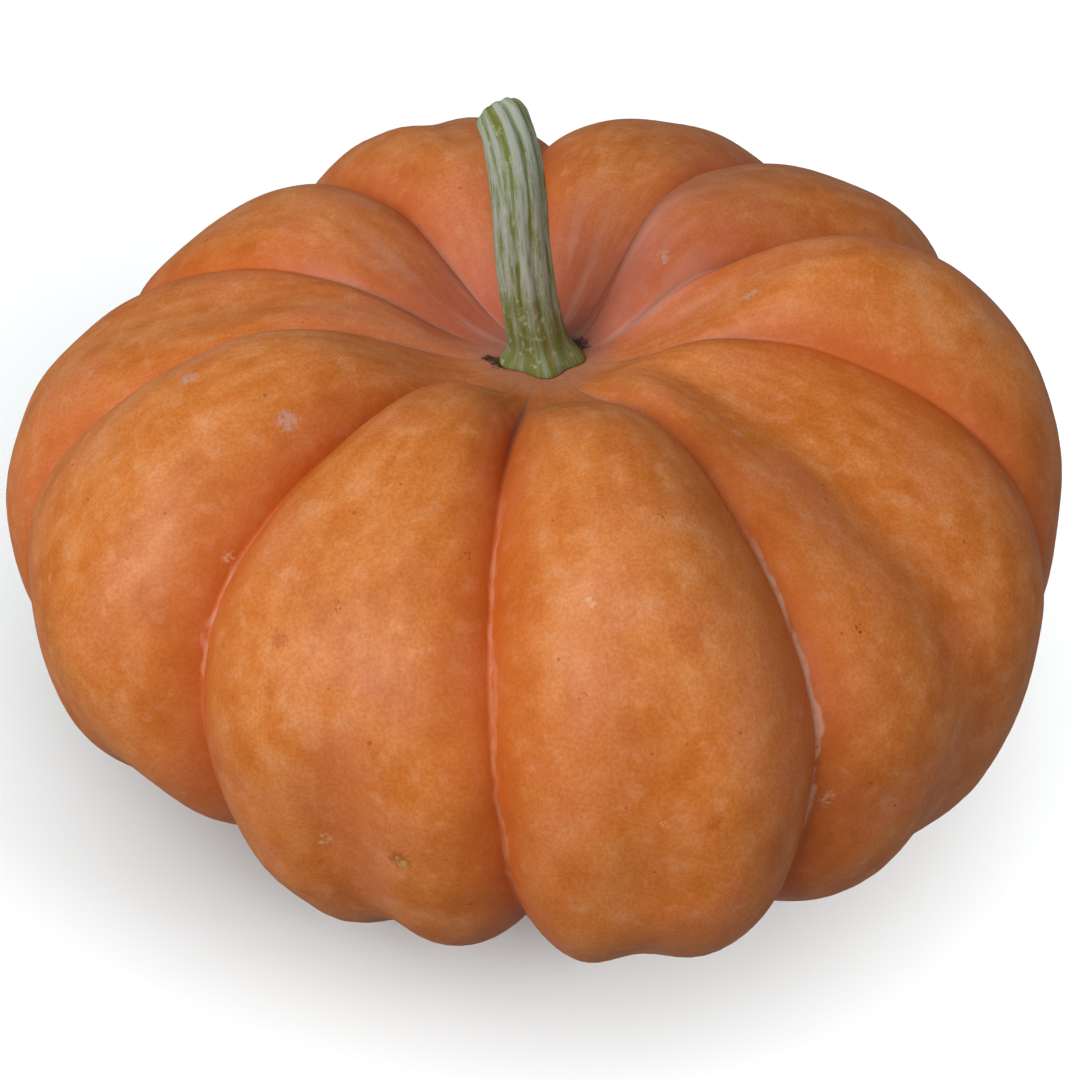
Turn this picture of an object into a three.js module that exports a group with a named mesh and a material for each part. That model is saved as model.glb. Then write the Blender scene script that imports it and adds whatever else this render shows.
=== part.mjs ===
// A ripe pumpkin as picked: one ribbed fruit that rests on the low places of its ribs, and its cut stem.
// Units are millimetres, +Z is up and the front faces -Y. The origin is on the ground, at the middle of
// the space that the whole pumpkin takes up.

import * as THREE from "three";
import { mergeVertices } from "three/addons/utils/BufferGeometryUtils.js";

const { clamp, degToRad, euclideanModulo, lerp, smoothstep } = THREE.MathUtils;

// The fruit as a whole. Heights and depths count from its widest level, and radii from its upright axis.
const SHOULDER_ROUNDNESS = 0.91; // below 1 the shoulders are fuller than a ball's
const CROWN_ROUNDNESS = 0.85; // below 1 the crown and the underside are flatter than a ball's
const SEAT_HEIGHT = 50.5; // the flat place in the stem hollow
const SEAT_RADIUS = 14;
const UNDERSIDE_DEPTH = 85; // what the ribs would reach down to if nothing pressed on them
const REST_DEPTH = 77; // where the fruit's own weight has flattened them
const BLOSSOM_DEPTH = 65; // the bottom of the shallow hollow at the blossom end
const BLOSSOM_RADIUS = 8;
const BLOSSOM_HOLLOW_REACH = 36;
const GIRTH_SLOPE = 150; // an egg of this radius and the next half height gives the way a furrow is sunk
const HEIGHT_SLOPE = 95;
const LOBE_FULLNESS = 0.86; // nearer 1 the ribs are rounder and their furrows sharper
const RELIEF_FADE = 58; // the furrows grow to their depth over this distance from the seat

// The ribs in order round the fruit. Bearings are degrees from the front (0) towards +X (90), and angles
// down the fruit are degrees from the stem (0) to the blossom end (180).
// furrow, lean and depth: the bearing of the furrow that starts the rib, how far it leans and its depth.
// height and hollow: the height that the rib's crown would have at the stem, and how far out the stem
// hollow is felt on it.
// reach and tuck: how far out the rib's crest is, and how quickly it draws in below (larger is quicker).
// crease: a soft second furrow, with its place across the rib, its depth, its half width in degrees and
// the angle down the fruit where it starts.
const RIBS = [
  {
    furrow: -41, lean: -4.5, depth: 18, height: 79, hollow: 30, reach: 144, tuck: 0.56,
    crease: [0.54, 5, 5.5, 60],
  },
  {
    furrow: -3.5, lean: -4, depth: 16, height: 92, hollow: 48, reach: 161, tuck: 0.95,
    crease: [0.44, 3.5, 5.5, 50],
  },
  {
    furrow: 27, lean: 4, depth: 13.5, height: 63, hollow: 16, reach: 151, tuck: 0.62,
    crease: [0.45, 3.5, 6.5, 15],
  },
  {
    furrow: 73.5, lean: 6, depth: 10, height: 99, hollow: 52, reach: 151, tuck: 0.83,
    crease: [0.4, 0.5, 6, 60],
  },
  {
    furrow: 119, lean: -10, depth: 18, height: 88, hollow: 18, reach: 163, tuck: 0.8,
    crease: [0.5, 1.5, 6, 60],
  },
  {
    furrow: 150, lean: -5, depth: 7.5, height: 86, hollow: 46, reach: 174, tuck: 0.8,
    crease: [0.5, 0.5, 6, 60],
  },
  {
    furrow: 174, lean: 7, depth: 12.5, height: 88, hollow: 39, reach: 173, tuck: 0.8,
    crease: [0.5, 3, 5.5, 10],
  },
  {
    furrow: 216, lean: -2, depth: 11, height: 83, hollow: 48, reach: 153, tuck: 0.8,
    crease: [0.66, 1.5, 5, 10],
  },
  {
    furrow: 241, lean: 7, depth: 8, height: 68, hollow: 28, reach: 157, tuck: 0.8,
    crease: [0.52, 3.5, 6, 60],
  },
  {
    furrow: 283, lean: -8, depth: 9.5, height: 86, hollow: 43, reach: 149, tuck: 1.07,
    crease: [0.64, 8, 7, 80],
  },
];
const CREASE_RUN_IN = 40; // a crease grows to its depth over this angle down the fruit

// The stem. Shares of its length run from 0 at the foot to 1 at the cut end.
const STEM_GAP = 0.3; // the foot stands clear of the seat by this much
const STEM_LENGTH = 74;
const STEM_LEAN = 5.8; // how far the lower part leans to -X
const LEAN_SHARE = 0.7; // the share of the length that leans
const NOD_SIDE = 5.5; // how far the top nods to -X
const NOD_BACK = 9.5; // and to +Y
const NOD_DROP = 4.5; // and how much lower the end comes by it
const NOD_LATENESS = 6; // larger keeps the nod nearer the top
const FOOT_SHARE = 0.12; // over this share the stem turns from upright into its lean
const STEM_FOOT_SHAFT_RADIUS = 8.1; // the shaft just above the foot
const STEM_TOP_RADIUS = 6.6;
const FOOT_FLARE = 3.2; // how much wider the foot is than the shaft
const FOOT_FLARE_HEIGHT = 3.4; // how quickly the flare dies away upwards
const FOOT_CORNERS = 5; // the foot is a soft star with this many corners
const FOOT_CORNER_SIZE = 1.1;
const FOOT_TURN = 7; // degrees from the front to one of the corners
const FLUTES = 10; // ridges round the stem
const FLUTE_DEPTH = 0.55;
const STEM_TWIST = 15; // how far the ridges turn from foot to top, in degrees
const RIM_HEIGHT = 3; // the cut end is rounded over this height
const RIM_ROUNDNESS = 2.4;
const RIM_DRAW = 0.45; // larger leaves a smaller flat cut

// How finely each piece is divided.
const COLUMNS_PER_RIB = 10;
const COLUMN_CROWDING = 0.7; // from 0 to 1: how much the columns gather at the furrows
const FRUIT_ROWS = 38;
const ROW_CROWDING = 0.6; // from 0 to 1: how much the rows gather at the stem and at the blossom end
const STEM_SIDES = 40;
const STEM_ROWS = 18;
const STEM_ROW_CROWDING = 0.7; // from 0 to 1: how much the rows gather at the foot and at the cut end

// Takes evenly spaced numbers from 0 to 1 and gathers them at both ends.
function gathered(even, crowding) {
  return even - (crowding * Math.sin(2 * Math.PI * even)) / (2 * Math.PI);
}

// The rib with this number, counting on round the fruit past the last one.
function ribNumber(number) {
  return RIBS[euclideanModulo(number, RIBS.length)];
}

// How many degrees the rib with this number spans.
function ribWidth(number) {
  return euclideanModulo(ribNumber(number + 1).furrow - ribNumber(number).furrow, 360);
}

// A size that each crest has a value of, eased from crest to crest. across runs from 0 to 1 over the rib.
function crestSize(name, number, across) {
  const neighbour = across < 0.5 ? number - 1 : number + 1;
  const gap = (ribWidth(number) + ribWidth(neighbour)) / 2;
  const way = (Math.abs(across - 0.5) * ribWidth(number)) / gap;
  return lerp(ribNumber(number)[name], ribNumber(neighbour)[name], smoothstep(way, 0, 1));
}

// How far the skin is sunk below its crests by the furrows and the crease, at full strength.
function reliefDepth(number, across, down) {
  const rib = ribNumber(number);
  const [place, depth, halfWidth, start] = rib.crease;
  const offCrest = LOBE_FULLNESS * (2 * across - 1);
  const edge = 1 - Math.sqrt(1 - LOBE_FULLNESS ** 2);
  const lobe = (1 - Math.sqrt(1 - offCrest ** 2)) / edge;
  const furrow = lerp(rib.depth, ribNumber(number + 1).depth, smoothstep(across, 0, 1));
  const offCrease = ((across - place) * ribWidth(number)) / halfWidth;
  const crease = depth * Math.exp(-(offCrease ** 2)) * smoothstep(down, start, start + CREASE_RUN_IN);
  return furrow * lobe + crease * (1 - lobe);
}

// How much of a hollow is felt at this radius: all of it out to flatRadius, then less and less.
function hollow(radius, flatRadius, reach) {
  return Math.exp(-((Math.max(radius - flatRadius, 0) / reach) ** 2));
}

// A point of the skin, from the rib's number, the share across it and the angle down the fruit.
function skinPoint(number, across, down) {
  const outward = Math.abs(Math.sin(degToRad(down)));
  const upward = Math.cos(degToRad(down));
  const tuck = upward > 0 ? SHOULDER_ROUNDNESS : crestSize("tuck", number, across);
  let radius = crestSize("reach", number, across) * outward ** tuck;

  const rise = Math.abs(upward) ** CROWN_ROUNDNESS;
  const crown = crestSize("height", number, across) * rise;
  const stemHollow = hollow(radius, SEAT_RADIUS, crestSize("hollow", number, across));
  const blossomHollow = hollow(radius, BLOSSOM_RADIUS, BLOSSOM_HOLLOW_REACH);
  let height = upward > 0
    ? lerp(crown, SEAT_HEIGHT, stemHollow)
    : -lerp(UNDERSIDE_DEPTH * rise, BLOSSOM_DEPTH, blossomHollow);

  const sunk = new THREE.Vector2(outward / GIRTH_SLOPE, upward / HEIGHT_SLOPE).normalize();
  const strength = smoothstep(radius - SEAT_RADIUS, 0, RELIEF_FADE);
  sunk.multiplyScalar(strength * reliefDepth(number, across, down));
  radius -= sunk.x;
  height = Math.max(height - sunk.y, -REST_DEPTH);

  const lean = lerp(ribNumber(number).lean, ribNumber(number + 1).lean, across) * upward;
  const bearing = degToRad(ribNumber(number).furrow + across * ribWidth(number) + lean);
  return [radius * Math.sin(bearing), -radius * Math.cos(bearing), height];
}

// Joins the seams of a geometry whose vertices have been moved, and gives it new normals.
function closed(geometry) {
  geometry.deleteAttribute("normal");
  geometry.deleteAttribute("uv");
  const joined = mergeVertices(geometry);
  joined.computeVertexNormals();
  return joined;
}

// A ball's grid laid over the ribs, with a column on every furrow.
function fruitGeometry() {
  const columns = RIBS.length * COLUMNS_PER_RIB;
  const ball = new THREE.SphereGeometry(1, columns, FRUIT_ROWS);
  const places = ball.getAttribute("position");
  const shares = ball.getAttribute("uv");
  for (let i = 0; i < places.count; i += 1) {
    const column = Math.round(shares.getX(i) * columns) % columns;
    const across = gathered((column % COLUMNS_PER_RIB) / COLUMNS_PER_RIB, COLUMN_CROWDING);
    const down = 180 * gathered(1 - shares.getY(i), ROW_CROWDING);
    places.setXYZ(i, ...skinPoint(Math.floor(column / COLUMNS_PER_RIB), across, down));
  }
  return closed(ball);
}

// The middle of the stem at this share of its length.
function stemMiddle(share) {
  const lean = 1 - (1 - Math.min(share / LEAN_SHARE, 1)) ** 2;
  const nod = Math.max(share, 0) ** NOD_LATENESS;
  return new THREE.Vector3(
    -STEM_LEAN * lean - NOD_SIDE * nod,
    NOD_BACK * nod,
    STEM_LENGTH * share - NOD_DROP * nod,
  );
}

// The stem's own directions at this share: upright at the foot, and along the shaft from there on.
function stemDirections(share) {
  const step = 0.001;
  const up = new THREE.Vector3(0, 0, 1);
  const shaft = stemMiddle(share + step).sub(stemMiddle(share - step)).normalize();
  const along = up.lerp(shaft, smoothstep(share, 0, FOOT_SHARE)).normalize();
  const right = new THREE.Vector3(0, 1, 0).cross(along).normalize();
  const front = new THREE.Vector3().crossVectors(right, along);
  return { right, front };
}

// The stem's radius at this share of its length and this bearing in degrees.
function stemRadius(share, bearing) {
  const height = share * STEM_LENGTH;
  const shaft = lerp(STEM_FOOT_SHAFT_RADIUS, STEM_TOP_RADIUS, share);
  const flare = Math.exp(-((height / FOOT_FLARE_HEIGHT) ** 2));
  const corners = FOOT_CORNER_SIZE * Math.cos(degToRad(FOOT_CORNERS * (bearing - FOOT_TURN)));
  const flutes = FLUTE_DEPTH * Math.cos(degToRad(FLUTES * (bearing - STEM_TWIST * share)));
  const pastRim = clamp((height - STEM_LENGTH + RIM_HEIGHT) / RIM_HEIGHT, 0, 1);
  const rim = (1 - RIM_DRAW * pastRim ** RIM_ROUNDNESS) ** (1 / RIM_ROUNDNESS);
  return (shaft + flare * (FOOT_FLARE + corners) + (1 - flare) * flutes) * rim;
}

// A cylinder bent along the stem, with its side moved out to the ridges and the foot.
function stemGeometry() {
  const rod = new THREE.CylinderGeometry(1, 1, 1, STEM_SIDES, STEM_ROWS);
  const places = rod.getAttribute("position");
  for (let i = 0; i < places.count; i += 1) {
    const share = gathered(places.getY(i) + 0.5, STEM_ROW_CROWDING);
    const round = Math.atan2(places.getX(i), places.getZ(i));
    const reach = Math.hypot(places.getX(i), places.getZ(i));
    const radius = reach * stemRadius(share, THREE.MathUtils.radToDeg(round));
    const { right, front } = stemDirections(share);
    const point = stemMiddle(share);
    point.addScaledVector(right, radius * Math.sin(round));
    point.addScaledVector(front, radius * Math.cos(round));
    places.setXYZ(i, ...point);
  }
  return closed(rod);
}

const rind = new THREE.MeshStandardMaterial({ color: 0xd9803f, roughness: 0.5, metalness: 0 });
const driedStem = new THREE.MeshStandardMaterial({ color: 0x9aa27c, roughness: 0.8, metalness: 0 });

const fruit = new THREE.Mesh(fruitGeometry(), rind);
fruit.name = "fruit";

const stem = new THREE.Mesh(stemGeometry(), driedStem);
stem.name = "stem";
stem.position.z = SEAT_HEIGHT + STEM_GAP;

const pumpkin = new THREE.Group();
pumpkin.add(fruit, stem);

// Moves both pieces together, so that the origin comes to the middle of their footprint.
const space = new THREE.Box3().setFromObject(pumpkin, true);
const middle = space.getCenter(new THREE.Vector3());
for (const piece of pumpkin.children) {
  piece.position.sub(new THREE.Vector3(middle.x, middle.y, space.min.z));
}

export default pumpkin;
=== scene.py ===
"""A ripe ribbed pumpkin with its cut stem, standing on a white studio floor in soft light."""

import logging
import math
from dataclasses import dataclass, field
from enum import Enum

import bpy
import numpy as np
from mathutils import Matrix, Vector


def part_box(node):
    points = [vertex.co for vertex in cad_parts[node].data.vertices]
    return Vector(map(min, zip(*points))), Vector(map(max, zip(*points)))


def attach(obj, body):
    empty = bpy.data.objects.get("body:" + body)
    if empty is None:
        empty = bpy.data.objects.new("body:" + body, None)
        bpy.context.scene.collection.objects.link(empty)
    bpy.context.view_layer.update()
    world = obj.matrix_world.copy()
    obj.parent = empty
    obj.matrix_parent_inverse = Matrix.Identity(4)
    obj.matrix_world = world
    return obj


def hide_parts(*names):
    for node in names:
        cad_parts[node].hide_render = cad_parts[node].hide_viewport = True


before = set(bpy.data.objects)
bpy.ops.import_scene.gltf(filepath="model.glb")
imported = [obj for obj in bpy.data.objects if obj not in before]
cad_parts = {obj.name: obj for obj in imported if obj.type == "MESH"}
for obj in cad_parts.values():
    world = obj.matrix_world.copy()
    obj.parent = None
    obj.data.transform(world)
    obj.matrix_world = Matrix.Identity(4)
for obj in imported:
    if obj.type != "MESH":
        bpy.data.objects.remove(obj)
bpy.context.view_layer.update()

MM = 0.001
LOG = logging.getLogger("pumpkin")

Colour = tuple[float, float, float, float]
Socket = bpy.types.NodeSocket


def colour(code: int) -> Colour:
    """Turns a display colour into the linear one that Blender mixes.

    Args:
        code: The colour as 0xRRGGBB.

    Returns:
        Linear red, green and blue, and an alpha of 1.
    """
    shares = [(code >> shift & 255) / 255 for shift in (16, 8, 0)]
    linear = [s / 12.92 if s <= 0.04045 else ((s + 0.055) / 1.055) ** 2.4 for s in shares]
    return (linear[0], linear[1], linear[2], 1.0)


def eased(value: np.ndarray, low: float = 0.0, high: float = 1.0) -> np.ndarray:
    """Goes smoothly from 0 at low to 1 at high.

    Args:
        value: The numbers to ease.
        low: Where the rise starts.
        high: Where it ends.

    Returns:
        The eased shares, from 0 to 1.
    """
    share = np.clip((value - low) / (high - low), 0, 1)
    return share * share * (3 - 2 * share)


def gathered(even: np.ndarray, crowding: float) -> np.ndarray:
    """Takes evenly spaced numbers from 0 to 1 and gathers them at both ends.

    Args:
        even: The evenly spaced numbers.
        crowding: How much they gather, from 0 to 1.

    Returns:
        The gathered numbers.
    """
    return even - crowding * np.sin(2 * np.pi * even) / (2 * np.pi)


@dataclass(frozen=True)
class Crease:
    """A soft second furrow down a rib.

    Attributes:
        place: The share across the rib, from 0 to 1.
        depth: Its depth in millimetres.
        half_width: Half its width, in degrees round the fruit.
        start: The angle down the fruit where it starts, in degrees.
    """

    place: float
    depth: float
    half_width: float
    start: float


@dataclass(frozen=True)
class Rib:
    """One rib of the fruit, with the furrow that starts it.

    Attributes:
        furrow: The furrow's bearing in degrees, from the front (0) towards +X (90).
        lean: How far the furrow leans, in degrees.
        depth: The furrow's depth in millimetres.
        height: The height that its crown would have at the stem.
        hollow: How far out the stem hollow is felt on it.
        reach: The crest's distance from the fruit's axis.
        tuck: How quickly the rib draws in below. Larger is quicker.
        crease: The rib's soft second furrow.
    """

    furrow: float
    lean: float
    depth: float
    height: float
    hollow: float
    reach: float
    tuck: float
    crease: Crease


# The first three creases are 1 to 2 mm deeper than in the solids, so that they show in soft light.
RIBS = (
    Rib(-41, -4.5, 18, 79, 30, 144, 0.56, Crease(0.54, 6.8, 5.5, 55)),
    Rib(-3.5, -4, 16, 92, 48, 161, 0.95, Crease(0.44, 5.6, 5.5, 40)),
    Rib(27, 4, 13.5, 63, 16, 151, 0.62, Crease(0.45, 4.6, 6.5, 15)),
    Rib(73.5, 6, 10, 99, 52, 151, 0.83, Crease(0.4, 0.5, 6, 60)),
    Rib(119, -10, 18, 88, 18, 163, 0.8, Crease(0.5, 1.5, 6, 60)),
    Rib(150, -5, 7.5, 86, 46, 174, 0.8, Crease(0.5, 0.5, 6, 60)),
    Rib(174, 7, 12.5, 88, 39, 173, 0.8, Crease(0.5, 3, 5.5, 10)),
    Rib(216, -2, 11, 83, 48, 153, 0.8, Crease(0.66, 1.5, 5, 10)),
    Rib(241, 7, 8, 68, 28, 157, 0.8, Crease(0.52, 3.5, 6, 60)),
    Rib(283, -8, 9.5, 86, 43, 149, 1.07, Crease(0.64, 8, 7, 80)),
)


@dataclass(frozen=True)
class FruitForm:
    """The ribbed shape of the fruit as a formula. Lengths are millimetres and angles degrees.

    Heights and depths count from the widest level, and radii from the upright axis.

    Attributes:
        ribs: The ribs, in order round the fruit.
        shoulder_roundness: How squarely the skin leaves the widest level upwards. Less is squarer.
        crown_roundness: How squarely it goes over the top.
        seat_height: The height of the skin under the stem.
        seat_radius: How far that level place reaches.
        underside_depth: How deep the underside would reach without its flat places.
        rest_depth: The level that it stands on.
        blossom_depth: The depth of the hollow's middle at the blossom end.
        blossom_radius: How far that level place reaches.
        blossom_hollow_reach: How far out the hollow is felt.
        girth_slope: With height_slope, the sides of the even ball that says which way is inward.
        height_slope: The upright one.
        lobe_fullness: How round each rib is from furrow to furrow, up to 1 for a half circle.
        relief_fade: How far from the seat the furrows reach their full depth.
        crease_run_in: Over how many degrees a crease deepens.
    """

    ribs: tuple[Rib, ...] = RIBS
    shoulder_roundness: float = 0.91
    crown_roundness: float = 0.85
    seat_height: float = 50.5
    seat_radius: float = 14
    underside_depth: float = 85
    rest_depth: float = 77
    blossom_depth: float = 65
    blossom_radius: float = 8
    blossom_hollow_reach: float = 36
    girth_slope: float = 150
    height_slope: float = 95
    lobe_fullness: float = 0.86
    relief_fade: float = 58
    crease_run_in: float = 40

    def sizes(self, name: str) -> np.ndarray:
        """All the ribs' values of one size, in order round the fruit."""
        return np.array([getattr(rib, name) for rib in self.ribs], float)

    def widths(self) -> np.ndarray:
        """How many degrees each rib spans."""
        furrows = self.sizes("furrow")
        return (np.roll(furrows, -1) - furrows) % 360

    def crest_size(self, name: str, number: np.ndarray, across: np.ndarray) -> np.ndarray:
        """A size that each crest has a value of, eased from crest to crest.

        Args:
            name: The size's name in Rib.
            number: The rib that each point lies on.
            across: How far across the rib it lies, from 0 to 1.

        Returns:
            The size at each point.
        """
        values, widths = self.sizes(name), self.widths()
        neighbour = (number + np.where(across < 0.5, -1, 1)) % len(values)
        gap = (widths[number] + widths[neighbour]) / 2
        way = eased(np.abs(across - 0.5) * widths[number] / gap)
        return values[number] * (1 - way) + values[neighbour] * way

    def relief(
        self, number: np.ndarray, across: np.ndarray, down: np.ndarray
    ) -> tuple[np.ndarray, np.ndarray, np.ndarray]:
        """How far furrows and creases sink the skin below its crests, at full strength.

        Args:
            number: The rib that each point lies on.
            across: How far across the rib it lies, from 0 to 1.
            down: The angle down the fruit.

        Returns:
            The depths, the share of each furrow's own depth that is reached there, and the
            creases' part of the depths.
        """
        depths, widths = self.sizes("depth"), self.widths()
        creases = [rib.crease for rib in self.ribs]
        place = np.array([crease.place for crease in creases])[number]
        depth = np.array([crease.depth for crease in creases])[number]
        half_width = np.array([crease.half_width for crease in creases])[number]
        start = np.array([crease.start for crease in creases])[number]
        edge = 1 - math.sqrt(1 - self.lobe_fullness**2)
        lobe = (1 - np.sqrt(1 - (self.lobe_fullness * (2 * across - 1)) ** 2)) / edge
        way = eased(across)
        furrow = depths[number] * (1 - way) + depths[(number + 1) % len(depths)] * way
        off_crease = (across - place) * widths[number] / half_width
        run_in = eased((down - start) / self.crease_run_in)
        crease = depth * np.exp(-(off_crease**2)) * run_in * (1 - lobe)
        return furrow * lobe + crease, lobe, crease

    def skin(self, number: np.ndarray, across: np.ndarray, down: np.ndarray) -> np.ndarray:
        """Points of the skin.

        Args:
            number: The rib that each point lies on.
            across: How far across the rib it lies, from 0 to 1.
            down: The angle down the fruit, from the stem (0) to the blossom end (180).

        Returns:
            One row of x, y and z for each point, from the middle of the widest level.
        """
        outward, upward = np.abs(np.sin(np.radians(down))), np.cos(np.radians(down))
        above = upward > 0
        tuck = np.where(above, self.shoulder_roundness, self.crest_size("tuck", number, across))
        radius = self.crest_size("reach", number, across) * outward**tuck

        rise = np.abs(upward) ** self.crown_roundness
        crown = self.crest_size("height", number, across) * rise
        stem_hollow = self.hollow(radius, self.seat_radius, self.crest_size("hollow", number, across))
        blossom = self.hollow(radius, self.blossom_radius, self.blossom_hollow_reach)
        top = crown * (1 - stem_hollow) + self.seat_height * stem_hollow
        bottom = self.underside_depth * rise * (1 - blossom) + self.blossom_depth * blossom
        height = np.where(above, top, -bottom)

        slope = np.hypot(outward / self.girth_slope, upward / self.height_slope)
        strength = eased(radius - self.seat_radius, 0, self.relief_fade)
        sunk = strength * self.relief(number, across, down)[0] / slope
        radius = radius - sunk * outward / self.girth_slope
        height = np.maximum(height - sunk * upward / self.height_slope, -self.rest_depth)

        bearing = np.radians(self.bearing(number, across, upward))
        return np.stack([radius * np.sin(bearing), -radius * np.cos(bearing), height], -1)

    def bearing(self, number: np.ndarray, across: np.ndarray, upward: np.ndarray) -> np.ndarray:
        """Bearings in degrees, with the furrows' lean, which turns over at the widest level."""
        furrows, leans = self.sizes("furrow"), self.sizes("lean")
        lean = leans[number] * (1 - across) + leans[(number + 1) % len(leans)] * across
        return furrows[number] + across * self.widths()[number] + lean * upward

    @staticmethod
    def hollow(radius: np.ndarray, flat_radius: float, reach: float | np.ndarray) -> np.ndarray:
        """How much of a hollow is felt at each radius: all of it out to flat_radius, then less."""
        return np.exp(-((np.maximum(radius - flat_radius, 0) / reach) ** 2))


class Tree:
    """A material's shader tree, put together in plain steps."""

    def __init__(self, name: str) -> None:
        """Starts a material of this name with an empty tree."""
        self.material = bpy.data.materials.new(name)
        self.material.use_nodes = True
        self.nodes = self.material.node_tree.nodes
        self.links = self.material.node_tree.links
        self.nodes.clear()

    def add(
        self, kind: str, inputs: dict[str | int, object] | None = None, **settings: object
    ) -> bpy.types.Node:
        """Adds a node.

        Args:
            kind: The node's type.
            inputs: What each of its inputs is set to, or the socket that feeds it.
            **settings: The node's own properties.

        Returns:
            The new node.
        """
        node = self.nodes.new(kind)
        for name, value in settings.items():
            setattr(node, name, value)
        for name, value in (inputs or {}).items():
            if isinstance(value, Socket):
                self.links.new(value, node.inputs[name])
            else:
                node.inputs[name].default_value = value
        return node

    def here(self) -> Socket:
        """The shaded point's place in the piece, in metres."""
        return self.add("ShaderNodeTexCoord").outputs["Object"]

    def attribute(self, name: str, output: str = "Fac") -> Socket:
        """A value that the mesh carries under this name."""
        return self.add("ShaderNodeAttribute", attribute_name=name).outputs[output]

    def noise(self, place: Socket, size: float, detail: float = 2.0, rough: float = 0.5) -> Socket:
        """A cloudy pattern.

        Args:
            place: The coordinates that it is drawn on.
            size: How large its clouds are, in metres.
            detail: How many finer layers it has.
            rough: How strong the finer layers are.

        Returns:
            The pattern, about 0 to 1.
        """
        inputs = {"Vector": place, "Scale": 1 / size, "Detail": detail, "Roughness": rough}
        return self.add("ShaderNodeTexNoise", inputs).outputs["Fac"]

    def span(self, value: Socket, low: float, high: float) -> Socket:
        """Goes smoothly from 0 where value is low to 1 where it is high, and stays within them."""
        inputs = {"Value": value, "From Min": low, "From Max": high}
        return self.add("ShaderNodeMapRange", inputs, interpolation_type="SMOOTHSTEP").outputs["Result"]

    def times(self, first: object, second: object, plus: object = 0.0) -> Socket:
        """The product of two sockets or numbers, with a third one added to it."""
        inputs = {0: first, 1: second, 2: plus}
        return self.add("ShaderNodeMath", inputs, operation="MULTIPLY_ADD").outputs[0]

    def math(self, operation: str, first: object, second: object = 0.0) -> Socket:
        """One step of arithmetic, named as Blender names it."""
        return self.add("ShaderNodeMath", {0: first, 1: second}, operation=operation).outputs[0]

    def vector(self, operation: str, *terms: object, output: str = "Vector") -> Socket:
        """One step of arithmetic on vectors, named as Blender names it."""
        inputs = dict(enumerate(terms))
        return self.add("ShaderNodeVectorMath", inputs, operation=operation).outputs[output]

    def ramp(self, value: Socket, stops: tuple[tuple[float, Colour], ...]) -> Socket:
        """Turns a number into a colour.

        Args:
            value: The number.
            stops: Numbers in rising order, each with its colour.

        Returns:
            The colour, which runs evenly from stop to stop.
        """
        node = self.add("ShaderNodeValToRGB", {"Fac": value})
        elements = node.color_ramp.elements
        while len(elements) < len(stops):
            elements.new(1.0)
        for element, (place, shade) in zip(elements, stops):
            element.position = place
            element.color = shade
        return node.outputs["Color"]

    def dots(self, place: Socket, spacing: float, radius: float) -> Socket:
        """Small scattered dots.

        Args:
            place: The coordinates that they are scattered on.
            spacing: About how far apart they lie, in metres.
            radius: The radius of the largest, in metres.

        Returns:
            1 inside a dot and 0 outside.
        """
        cells = self.add("ShaderNodeTexVoronoi", {"Vector": place, "Scale": 1 / spacing})
        size = self.add("ShaderNodeSeparateColor", {0: cells.outputs["Color"]}).outputs[0]
        distance = self.times(cells.outputs["Distance"], spacing)
        past_edge = self.times(size, -radius, distance)
        return self.span(past_edge, 0.2 * radius, -0.3 * radius)

    def mix(self, share: object, under: object, over: object, how: str = "MIX") -> Socket:
        """Lays one colour over another.

        Args:
            share: How much of the upper colour shows.
            under: The lower colour.
            over: The upper colour.
            how: Blender's name for the way they blend.

        Returns:
            The mixed colour.
        """
        inputs = {0: share, 6: under, 7: over}
        node = self.add("ShaderNodeMix", inputs, data_type="RGBA", blend_type=how, clamp_factor=True)
        return node.outputs[2]

    def bump(
        self, height: Socket, distance: float, strength: float = 1.0, under: Socket | None = None
    ) -> Socket:
        """Fine relief from a height pattern.

        Args:
            height: The pattern.
            distance: How high its ones stand above its noughts, in metres.
            strength: How much of it shows.
            under: Relief that it is laid on.

        Returns:
            The normal to shade with.
        """
        inputs = {"Height": height, "Distance": distance, "Strength": strength}
        if under is not None:
            inputs["Normal"] = under
        return self.add("ShaderNodeBump", inputs).outputs["Normal"]

    def finish(
        self, base: Socket, rough: Socket | float, normal: Socket, specular: float
    ) -> bpy.types.Material:
        """Ends the tree in one shader.

        Args:
            base: The colour.
            rough: The roughness.
            normal: The relief.
            specular: How strongly it reflects, as a constant.

        Returns:
            The material.
        """
        inputs = {"Base Color": base, "Roughness": rough, "Normal": normal}
        shader = self.add("ShaderNodeBsdfPrincipled", inputs)
        shader.inputs["Specular IOR Level"].default_value = specular
        self.add("ShaderNodeOutputMaterial", {"Surface": shader.outputs["BSDF"]})
        return self.material


class Mark(Enum):
    """The kinds of mark on the skin: each one's colour, how much of it shows, and whether it flakes."""

    PORE = (0x8A3F18, 0.9, False)
    SCAR_RIM = (0xA24E1E, 0.7, False)
    SCAR_HEART = (0xC0A050, 0.85, True)
    CRUST = (0xDFAE86, 0.6, True)
    RED_SPOT = (0xB4501A, 0.55, False)
    SCUFF = (0xC4A8A0, 0.5, True)
    SOIL = (0x241F1A, 0.95, False)


@dataclass(frozen=True)
class Blemish:
    """One small mark on the skin.

    Attributes:
        kind: What it looks like.
        rib: The number of the rib that it is on.
        across: Its share across the rib.
        down: Degrees down the fruit from the stem.
        radius: Its radius in millimetres.
    """

    kind: Mark
    rib: int
    across: float
    down: float
    radius: float


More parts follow.
